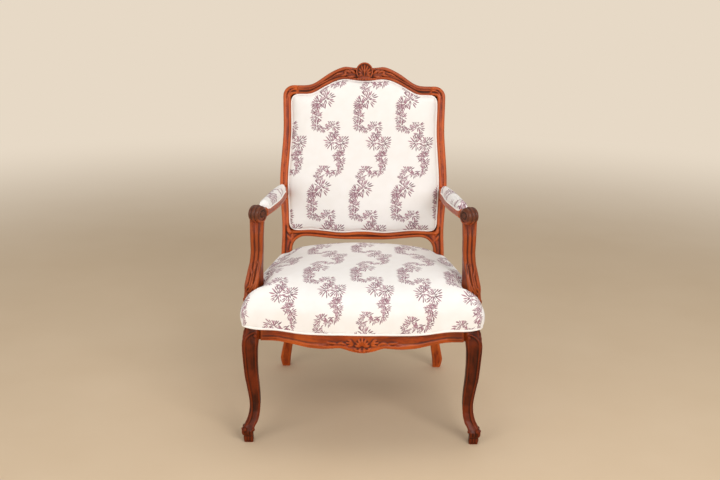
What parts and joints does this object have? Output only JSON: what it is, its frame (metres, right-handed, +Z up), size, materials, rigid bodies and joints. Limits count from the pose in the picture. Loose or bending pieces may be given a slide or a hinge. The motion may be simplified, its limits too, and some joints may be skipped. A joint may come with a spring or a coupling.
{
  "type": "fauteuil",
  "caption": "Open armchair with a flat upright back, carved show-wood frame, cabriole front legs, scrolled arms and a stuffed seat, back and arm pads.",
  "frame": {"origin": "on the floor, under the middle of the chair's bounding box", "axes": "+Z up; the front of the chair faces -Y; +X is its right side as seen from the front; the back stands tall along +Z"},
  "size_m": [0.671, 0.7257, 0.9911],
  "materials": {
    "walnut": "satin",
    "beech": "matte",
    "pegs": "satin",
    "printed_linen": "matte",
    "piping": "matte",
    "stuffing": "matte",
    "webbing": "matte",
    "hessian": "matte",
    "steel": "brushed"
  },
  "bodies": {
    "root": {"arm_left": "walnut", "arm_pad_cover_left": "printed_linen", "arm_pad_cover_right": "printed_linen", "arm_pad_left": "stuffing", "arm_pad_piping_left": "piping", "arm_pad_piping_right": "piping", "arm_pad_right": "stuffing", "arm_right": "walnut", "arm_support_left": "walnut", "arm_support_right": "walnut", "back_cover_inside": "printed_linen", "back_cover_outside": "printed_linen", "back_hessian": "hessian", "back_piping_front": "piping", "back_piping_rear": "piping", "back_stuffing": "stuffing", "back_webbing": "webbing", "corner_block_front_left": "beech", "corner_block_front_right": "beech", "corner_block_rear_left": "beech", "corner_block_rear_right": "beech", "corner_block_screws": "steel", "leg_front_left": "walnut", "leg_front_right": "walnut", "pegs_back": "pegs", "pegs_seat": "pegs", "post_rear_left": "walnut", "post_rear_right": "walnut", "rail_back_crest": "walnut", "rail_back_lower": "walnut", "rail_seat_front": "walnut", "rail_seat_left": "walnut", "rail_seat_rear": "walnut", "rail_seat_right": "walnut", "seat_cover": "printed_linen", "seat_hessian": "hessian", "seat_piping": "piping", "seat_stuffing": "stuffing", "seat_webbing_cross": "webbing", "seat_webbing_fore_aft": "webbing"}
  },
  "joints": []
}
